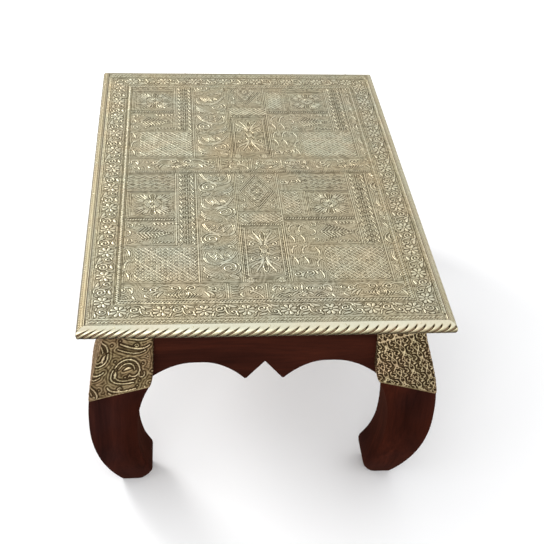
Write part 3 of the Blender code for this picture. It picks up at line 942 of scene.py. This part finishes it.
def draw_trellis_stock():
    """Stock sheet with a close trellis of knots, for the other leg claddings."""
    stock = Relief(STOCK_LOW, STOCK_HIGH, 0.8)
    for i in range(13):
        for j in range(7):
            x, y = -150 + 25 * i, -22 + 33 * j - 16.5 * (i % 2)
            knot_unit(Pen(stock, (x, y), 0, 1.0, 1 if j % 2 else -1))
    Pen(stock).line(-150, 112, 150, 112, 0.85)
    stock.fill_ground(first=3.6, period=3.4, echo=0.30, shadow=0.44, ground=0.47, limit=8.0)
    return stock


# ---------------------------------------------------------------- brass pieces

EMBOSS = 1.15 * MM          # height of the pressed pattern
SHEET_RISE = 0.2 * MM       # least thickness of the sheet
GROUND_RISE = 0.15 * MM     # mean height of the pattern's ground above that
WAVE_HEIGHT = 0.18 * MM     # unevenness of the hand-laid sheet


def slow_waves(x, y, size, seed):
    """Smooth unevenness of hand-laid sheet, about -1 to 1."""
    random = np.random.default_rng(seed)
    total = np.zeros(np.broadcast(x, y).shape)
    for _ in range(7):
        angle = random.uniform(0, math.pi)
        length = size * random.uniform(0.5, 1.6)
        phase = random.uniform(0, 2 * math.pi)
        total += np.sin((x * math.cos(angle) + y * math.sin(angle)) * 2 * math.pi / length + phase)
    return total / 4.0


def make_top_sheet(material):
    """The embossed top, in six closed pieces that meet edge to edge."""
    top = draw_top()
    x_cuts = (0, len(top.x) // 2, len(top.x) - 1)
    y_cuts = [round((len(top.y) - 1) * k / 3) for k in range(4)]
    xs = np.clip(top.x * MM, SHEET_LOW.x, SHEET_HIGH.x)
    ys = np.clip(top.y * MM, SHEET_LOW.y, SHEET_HIGH.y)
    gx, gy = np.meshgrid(xs, ys)
    waves = slow_waves(gx, gy, 0.11, 4) * WAVE_HEIGHT
    z = SHEET_LOW.z + SHEET_RISE + GROUND_RISE + top.height * EMBOSS + waves
    outer = np.stack([gx, gy, np.maximum(z, SHEET_LOW.z + SHEET_RISE)], -1)
    inner = np.stack([gx, gy, np.full_like(gx, SHEET_LOW.z)], -1)
    for row, y0, y1 in zip(("front", "middle", "back"), y_cuts, y_cuts[1:]):
        for column, x0, x1 in zip(("left", "right"), x_cuts, x_cuts[1:]):
            part = np.s_[y0:y1 + 1, x0:x1 + 1]
            piece = sheet_shell("top_sheet_" + row + "_" + column, outer[part], inner[part],
                                top.tone[part], (y1 - y0, x1 - x0))
            finish_piece(piece, material, "antique_brass", "brass_top_sheet")


def paint(piece, material):
    piece.data.materials.clear()
    piece.data.materials.append(material)


def finish_piece(piece, material, slot, *nodes):
    """Material, body and the CAD nodes that a piece stands for; slot is not used."""
    paint(piece, material)
    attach(piece, "root")
    if nodes:
        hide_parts(*nodes)


GROOVE_DEPTH = 1.9 * MM
ROPE_LEAN = 13.0 * MM       # run of a groove along the edge, per radian round it
GROOVE_PITCH_MIDDLE = 16.0 * MM
GROOVE_PITCH_END = 11.5 * MM
CUT_ANGLE = 1.32            # where round the edge a groove is deepest
CUT_REACH = 0.86
COVER_STEP = 1.0 * MM
DENT_DEPTH = 0.12 * MM
DASH_PITCH = 6.0 * MM
DASH_DEPTH = 0.45 * MM
DASH_BANDS = {              # end angle, rows of dashes, and the tone of a cover's upper band, which also dims the rest of the cover: painted shade, strongest on the left cover that the key light strikes
    "left": (1.05, 2, 0.66),
    "right": (0.60, 1, 0.80),
    "back": (0.60, 1, 0.78),
}
EDGE_RADIUS = (TOP_HIGH.z - TOP_LOW.z) / 2
EDGE_CENTRE_Z = (TOP_HIGH.z + TOP_LOW.z) / 2
COVER_THICKNESS = 0.8 * MM
COVER_TOP_REACH = 12.5 * MM
COVER_BOTTOM_REACH = TOP_HIGH.y + HALF_LENGTH
MITRE_GAP = 0.25 * MM
ARC = np.linspace(0, math.pi, 25)   # angles round the outside of a cover, from its top down


def groove_places(half, seed):
    """Where the rope grooves cross the middle of the edge: closer together near the ends."""
    random = np.random.default_rng(seed)
    places = []
    run = -half + 4 * MM
    while run < half - 4 * MM:
        places.append(run + random.uniform(-0.7, 0.7) * MM)
        nearness = min(1.0, (half - abs(run)) / (110 * MM))
        run += GROOVE_PITCH_END + (GROOVE_PITCH_MIDDLE - GROOVE_PITCH_END) * nearness
    return np.array(places)


def rope_depth(run, places):
    """Depth and tone of the rope twist, for every place along the edge and angle round it. The tone is
    painted light: darker down round the edge, a painted highlight on one side of each groove, painted
    shade on the other and painted shadow in the cuts.
    """
    off = (run[:, None] + ROPE_LEAN * (ARC - 1.45))[:, :, None] - places
    nearest = np.take_along_axis(off, np.abs(off).argmin(-1)[..., None], -1)[..., 0] / MM
    length = np.clip(1 - np.abs((ARC - CUT_ANGLE) / CUT_REACH) ** 2.2, 0.0, 1.0)
    low_side = np.clip((ARC - 0.7) / 0.9, 0.0, 1.0) * np.sin(ARC)
    cut = np.exp(-(nearest / (0.45 + 1.15 * length)) ** 2) * length
    strand = np.exp(-(nearest / 3.4) ** 2) * low_side
    # painted highlight on one side of each groove and painted shade on the other, on the lower part of the
    # rope
    painted_groove_highlight = np.exp(-((nearest - 2.6) / 1.3) ** 2) * low_side
    painted_groove_shade = np.exp(-((nearest + 2.6) / 2.4) ** 2) * low_side
    depth = GROOVE_DEPTH * (0.72 * cut + 0.36 * strand)
    # painted shade: the rope darkens further round the edge, towards its underside
    shade = 0.92 - 0.66 * np.clip((ARC - 0.80) / 1.25, 0, 1) ** 1.2
    tone = shade * (1.0 - 0.42 * painted_groove_shade) + 0.26 * painted_groove_highlight
    # painted shadow: the tone goes dark inside each cut
    return depth, np.clip(tone - 1.5 * cut ** 0.75, -0.25, 1.0)


def band_dashes(run, end, rows):
    """Rows of slanted dashes along the upper band, up to an angle: 1 on a dash, 0 between."""
    across = np.clip(ARC / end, 0.0, 1.0) * rows
    row = np.minimum(np.floor(across), rows - 1)
    within = across - row
    slant = np.where(row % 2 == 0, 0.9, -0.9) * within
    wave = 0.5 + 0.5 * np.cos(2 * math.pi * (run[:, None] / DASH_PITCH + slant))
    return wave * np.sqrt(np.clip(np.sin(math.pi * within), 0.0, 1.0))


def cover_section():
    """Insets and heights of the points round a cover's section; those of ARC come second."""
    back = np.linspace(math.pi, 0, 9)
    inner_radius = EDGE_RADIUS - COVER_THICKNESS
    inset = np.concatenate([
        [COVER_TOP_REACH], EDGE_RADIUS * (1 - np.sin(ARC)), [COVER_BOTTOM_REACH, COVER_BOTTOM_REACH],
        EDGE_RADIUS - (inner_radius - GROOVE_DEPTH * 0.15) * np.sin(back), [COVER_TOP_REACH],
    ])
    height = np.concatenate([
        [EDGE_RADIUS], EDGE_RADIUS * np.cos(ARC), [-EDGE_RADIUS, -inner_radius],
        inner_radius * np.cos(back), [inner_radius],
    ])
    return inset, height + EDGE_CENTRE_Z


def make_edge_cover(name, side, seed, material):
    """One brass edge cover with its rope twist, mitred at both ends."""
    half = HALF_WIDTH if side[0] == 0 else HALF_LENGTH
    t = np.linspace(-1, 1, int(2 * half / COVER_STEP) + 1)
    run = t * half
    depth, tone = rope_depth(run, groove_places(half, seed))
    if name in DASH_BANDS:
        end, rows, painted_side_light = DASH_BANDS[name]
        dashes = band_dashes(run, end, rows)
        depth = np.where(ARC <= end, DASH_DEPTH * (1.0 - dashes), depth)
        # painted shade: the cover's tone is scaled by its side's factor, so the covers other than the
        # front come out darker, the left one most
        tone = np.where(ARC <= end, painted_side_light - 0.30 + 0.42 * dashes, tone * painted_side_light)
    dents = slow_waves(run[:, None], ARC * 0.02, 0.05, seed) * DENT_DEPTH
    depth = np.maximum(depth + dents * np.sin(ARC), 0.0)
    depth[:, [0, -1]] = 0.0
    inset, height = (np.tile(values, (len(t), 1)) for values in cover_section())
    outside = slice(1, 1 + len(ARC))
    inset[:, outside] += depth * np.sin(ARC)
    height[:, outside] -= depth * np.cos(ARC)
    relief = np.full(inset.shape, GROUND_TONE)
    relief[:, 0] = 1.0
    relief[:, outside] = tone
    along = t[:, None] * (half - inset - MITRE_GAP)
    if side[0] == 0:
        points = np.stack([along, side[1] * (HALF_LENGTH - inset), height], -1)
    else:
        points = np.stack([side[0] * (HALF_WIDTH - inset), along, height], -1)
    flip = side[1] < 0 or side[0] > 0
    piece = closed_loft("edge_cover_" + name + "_rope", points, relief, flip)
    finish_piece(piece, material, "antique_brass", "edge_cover_" + name)


def closed_loft(name, points, relief, flip):
    """Join closed rings into a tube with a face at each end."""
    rings, count = points.shape[:2]
    index = np.arange(rings * count).reshape(rings, count)
    after = np.roll(index, -1, axis=1)
    quads = np.stack([index[:-1], index[1:], after[1:], after[:-1]], -1).reshape(-1, 4)
    caps = [index[:1], index[-1:, ::-1]]
    faces = [quads] + caps
    if flip:
        faces = [group[:, ::-1] for group in faces]
    return mesh_from_arrays(name, points.reshape(-1, 3), faces, relief.ravel())


# ---------------------------------------------------------------- leg cladding

def leg_curves():
    """Height, outer inset and inner inset of a leg, read from its CAD rings."""
    points = np.array([vertex.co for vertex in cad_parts["leg_front_right"].data.vertices])
    levels = np.round(points[:, 2], 5)
    rows = []
    for z in np.unique(levels):
        ring = points[levels == z]
        insets = HALF_WIDTH - ring[:, 0]
        if len(np.unique(np.round(ring[:, :2], 5), axis=0)) >= 10:
            rows.append((z, insets.min(), insets.max()))
    return np.array(rows).T


LEG_Z, LEG_OUTER, LEG_INNER = leg_curves()
LEG_SKIN = 0.8 * MM         # the cladding's outer face stands this far off the wood
CLAD_LOW, CLAD_HIGH = 0.240, 0.264  # the slanted lower edge, at the corner and at the aprons
CLAD_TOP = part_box("leg_cladding_front_right")[1].z
APRON_FACE = HALF_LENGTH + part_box("apron_front")[0].y
CLAD_CORNER = 3.6 * MM
CLAD_THICKNESS = 0.5 * MM
CLAD_ROWS = 145
CLAD_BACK_STRIDE = (8, 1)   # rows and columns of the face that one face of the back spans
FLAP_COLUMNS, BEND_COLUMNS, FACE_COLUMNS = 6, 6, 102
LEG_EMBOSS = 0.8 * MM


def cladding_grid(corner, depth):
    """Points of the sheet at one depth behind its face, with sheet coordinates in millimetres.

    Columns go from the flap at one apron, round the leg's outer corner, to the other flap.
    """
    flap = np.linspace(0, 1, FLAP_COLUMNS + 1)[:-1]
    face = np.linspace(0, 1, FACE_COLUMNS + 2)[1:-1]
    turn = np.linspace(0, 1, BEND_COLUMNS) * math.pi / 2
    half = np.concatenate([np.ones(FLAP_COLUMNS + BEND_COLUMNS), 1 - face])
    across = np.concatenate([half, np.zeros(BEND_COLUMNS), half[::-1]])
    low = CLAD_LOW + (CLAD_HIGH - CLAD_LOW) * across
    z = low + (CLAD_TOP - low) * np.linspace(0, 1, CLAD_ROWS)[:, None]
    outer = np.interp(z, LEG_Z, LEG_OUTER) - LEG_SKIN + depth
    inner = np.interp(z, LEG_Z, LEG_INNER) + LEG_SKIN - depth
    radius = CLAD_CORNER - depth
    end = APRON_FACE - 0.6 * MM
    a, b = outer + radius, inner - radius
    starts = np.cumsum([0, FLAP_COLUMNS, BEND_COLUMNS, FACE_COLUMNS, BEND_COLUMNS])
    flaps, bends, faces, middle = (np.s_[:, first:last] for first, last in zip(starts, starts[1:]))
    x = np.hstack([inner[flaps], b[bends] + radius * np.cos(turn),
                   b[faces] + (a - b)[faces] * face, a[middle] - radius * np.sin(turn)])
    y = np.hstack([end + (a[flaps] - end) * flap, a[bends] - radius * np.sin(turn),
                   outer[faces], a[middle] - radius * np.cos(turn)])
    back = np.s_[:, starts[3] - 1::-1]
    x, y = np.hstack([x, y[back]]), np.hstack([y, x[back]])
    steps = np.hypot(np.diff(x, axis=1), np.diff(y, axis=1))
    along = np.pad(np.cumsum(steps, axis=1), ((0, 0), (1, 0)))
    along -= along[:, starts[3] + BEND_COLUMNS // 2][:, None]
    points = np.stack([corner[0] * (HALF_WIDTH - x), corner[1] * (HALF_LENGTH - y), z], -1)
    return points, along / MM, (z - CLAD_LOW) / MM


def surface_normals(grid, flip):
    """Unit normals of a grid of points."""
    across = np.gradient(grid, axis=1)
    up = np.gradient(grid, axis=0)
    normals = np.cross(across, up) * (-1 if flip else 1)
    return normals / np.maximum(np.linalg.norm(normals, axis=-1, keepdims=True), 1e-12)


def sample(stock, h, x, y):
    """Value of the stock sheet's grid h at x, y, in millimetres."""
    i = np.clip((x - stock.low[0]) / stock.step, 0, len(stock.x) - 1.001)
    j = np.clip((y - stock.low[1]) / stock.step, 0, len(stock.y) - 1.001)
    i0, j0 = i.astype(int), j.astype(int)
    fi, fj = i - i0, j - j0
    low = h[j0, i0] * (1 - fi) + h[j0, i0 + 1] * fi
    high = h[j0 + 1, i0] * (1 - fi) + h[j0 + 1, i0 + 1] * fi
    return low * (1 - fj) + high * fj


def make_cladding(name, corner, stock, cut, material):
    """The embossed sheet on one leg; cut is where its stock is cut, and at what slant."""
    outside, along, up = cladding_grid(corner, 0.0)
    inside = cladding_grid(corner, CLAD_THICKNESS)[0]
    turn = math.radians(cut[2])
    u = along * math.cos(turn) - up * math.sin(turn) + cut[0]
    v = along * math.sin(turn) + up * math.cos(turn) + cut[1]
    fade = np.clip((np.minimum(up - up[0], up[-1] - up) - 1.0) / 2.0, 0, 1)
    columns = np.arange(outside.shape[1])
    fade = fade * np.clip(np.minimum(columns, columns[::-1]) / 3.0, 0, 1)
    hem = np.exp(-((up - up[0] - 1.4) / 0.8) ** 2)
    height = np.maximum(sample(stock, stock.height, u, v) * fade, 0.6 * hem)
    tone = GROUND_TONE + (sample(stock, stock.tone, u, v) - GROUND_TONE) * fade
    tone = np.maximum(tone, 0.78 * hem)
    flip = corner[0] * corner[1] > 0
    rise = (height - 0.35) * LEG_EMBOSS * fade
    outside = outside + surface_normals(outside, flip) * rise[..., None]
    if flip:
        outside, inside, tone = outside[:, ::-1], inside[:, ::-1], tone[:, ::-1]
    piece = sheet_shell("leg_sheet_" + name, outside, inside, tone, CLAD_BACK_STRIDE)
    finish_piece(piece, material, "aged_brass", "leg_cladding_" + name)


# ---------------------------------------------------------------- pins

PIN_RADIUS = 1.7 * MM
PIN_HEIGHT = 0.8 * MM
PIN_PROFILE = ((-0.6, 0.45), (0.0, 0.45), (0.0, 1.0), (0.45, 0.9), (0.8, 0.6), (1.0, 0.2))
PIN_SIDES = 10
PIN_TONE = 0.8
EDGE_PIN_LIFT = math.radians(66)


def add_pin(bm, point, outward):
    """The round head of a pin, with a short stub of its shank."""
    axis = Vector(outward).normalized()
    across = axis.cross(Vector((0.3, 0.2, 0.9))).normalized()
    beside = axis.cross(across)
    angles = [2 * math.pi * k / PIN_SIDES for k in range(PIN_SIDES)]
    ways = [(across * math.cos(angle) + beside * math.sin(angle)) * PIN_RADIUS for angle in angles]
    rings = []
    for rise, reach in PIN_PROFILE:
        centre = Vector(point) + axis * (rise * PIN_HEIGHT)
        rings.append([bm.verts.new(centre + way * reach) for way in ways])
    for low, high in zip(rings, rings[1:]):
        for k in range(PIN_SIDES):
            n = (k + 1) % PIN_SIDES
            bm.faces.new((low[k], low[n], high[n], high[k]))
    bm.faces.new(rings[0][::-1])
    bm.faces.new(rings[-1])


def make_pins(name, places, material, slot):
    """All pins of one kind as one piece."""
    bm = bmesh.new()
    for point, outward in places:
        add_pin(bm, point, outward)
    bmesh.ops.recalc_face_normals(bm, faces=bm.faces)
    piece = add_mesh(name, bm)
    piece.data.shade_smooth()
    attribute = piece.data.attributes.new("relief", "FLOAT", "POINT")
    attribute.data.foreach_set("value", np.full(len(piece.data.vertices), PIN_TONE, np.float32))
    finish_piece(piece, material, slot)


def edge_pin_places():
    """Pins along the smooth upper band of the edge covers."""
    out, up = math.cos(EDGE_PIN_LIFT), math.sin(EDGE_PIN_LIFT)
    inset = EDGE_RADIUS * (1 - out)
    z = EDGE_CENTRE_Z + EDGE_RADIUS * up
    places = []
    for x, y in SIDES.values():
        half, count = (HALF_WIDTH, 5) if x == 0 else (HALF_LENGTH, 8)
        for run in spread(count, (2 * half - 0.12) / (count - 1)):
            point = (run, y * (HALF_LENGTH - inset), z) if x == 0 else (x * (HALF_WIDTH - inset), run, z)
            places.append((point, (x * out, y * out, up)))
    return places


def leg_pin_places():
    """Pins near the corners of every leg sheet."""
    places = []
    step = 4 * MM
    for cx, cy in CORNERS.values():
        for across in (0.10, 0.90):
            edge = CLAD_LOW + (CLAD_HIGH - CLAD_LOW) * across
            for z in (edge + 5 * MM, (edge + CLAD_TOP) / 2, CLAD_TOP - 6 * MM):
                outer, above = np.interp((z, z + step), LEG_Z, LEG_OUTER) - LEG_SKIN
                inner = np.interp(z, LEG_Z, LEG_INNER) + LEG_SKIN
                lean = (above - outer) / step
                run = outer + (inner - outer) * across
                places.append(((cx * (HALF_WIDTH - run), cy * (HALF_LENGTH - outer), z), (0, cy, lean)))
                places.append(((cx * (HALF_WIDTH - outer), cy * (HALF_LENGTH - run), z), (cx, 0, lean)))
    return places


# ---------------------------------------------------------------- wood pieces

def soften(node, name, material, bevel):
    """A smooth copy of a CAD wood piece with eased edges."""
    bm = bmesh.new()
    bm.from_mesh(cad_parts[node].data)
    bmesh.ops.remove_doubles(bm, verts=bm.verts, dist=1e-5)
    bmesh.ops.dissolve_limit(bm, angle_limit=math.radians(0.5), verts=bm.verts, edges=bm.edges)
    piece = add_mesh(name, bm)
    piece.data.shade_smooth()
    piece.data.set_sharp_from_angle(angle=SMOOTH_ANGLE)
    eased = piece.modifiers.new("eased_edges", "BEVEL")
    eased.width = bevel
    eased.segments = 3
    eased.limit_method = "ANGLE"
    eased.angle_limit = SMOOTH_ANGLE
    eased.harden_normals = True
    finish_piece(piece, material, "dark_wood", node)


def main():
    make_camera()
    make_studio()
    top_brass = brass_material("embossed_top_brass", TOP_TONES, TOP_PATCHES, (26.0, 0.11), (1, 0.95, 0.85))
    leg_brass = brass_material("embossed_leg_brass", LEG_TONES, LEG_PATCHES, (24.0, 0.08), (1, 0.72, 0.55))
    rope_brass = brass_material("rope_edge_brass", ROPE_TONES, ROPE_PATCHES, None, (1, 0.95, 0.85))
    wood_x = wood_material("stained_wood_across", 0, WOOD_TONES, 0.44, 0.008)
    wood_y = wood_material("stained_wood_along", 1, WOOD_TONES, 0.44, 0.008)
    wood_z = wood_material("stained_wood_upright", 2, WOOD_TONES, 0.36, 0.0, 0.04, LEG_TINTS)
    plain = wood_material("plain_wood", 1, PLAIN_TONES, 0.65, 0.0)
    steel = steel_material()

    make_top_sheet(top_brass)
    for seed, (name, side) in enumerate(SIDES.items()):
        make_edge_cover(name, side, seed + 11, rope_brass)
        soften("apron_" + name, "apron_" + name + "_eased", wood_x if side[0] == 0 else wood_y, 0.35 * MM)
    swirls, trellis = draw_swirl_stock(), draw_trellis_stock()
    stocks = {"front_left": (swirls, (-6, 6, 4)), "front_right": (trellis, (0, 0, -14)),
              "back_left": (trellis, (20, 4, -8)), "back_right": (swirls, (14, 0, -6))}
    for name, corner in CORNERS.items():
        make_cladding(name, corner, *stocks[name], leg_brass)
        soften("leg_" + name, "leg_" + name + "_eased", wood_z, 1.2 * MM)
    make_pins("edge_pins", edge_pin_places(), rope_brass, "antique_brass")
    make_pins("leg_pins", leg_pin_places(), leg_brass, "aged_brass")
    for node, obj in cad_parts.items():
        if node.startswith(("top_panel", "edge_moulding", "screw_block")):
            paint(obj, plain)
        elif node.startswith("block_screw"):
            paint(obj, steel)


main()
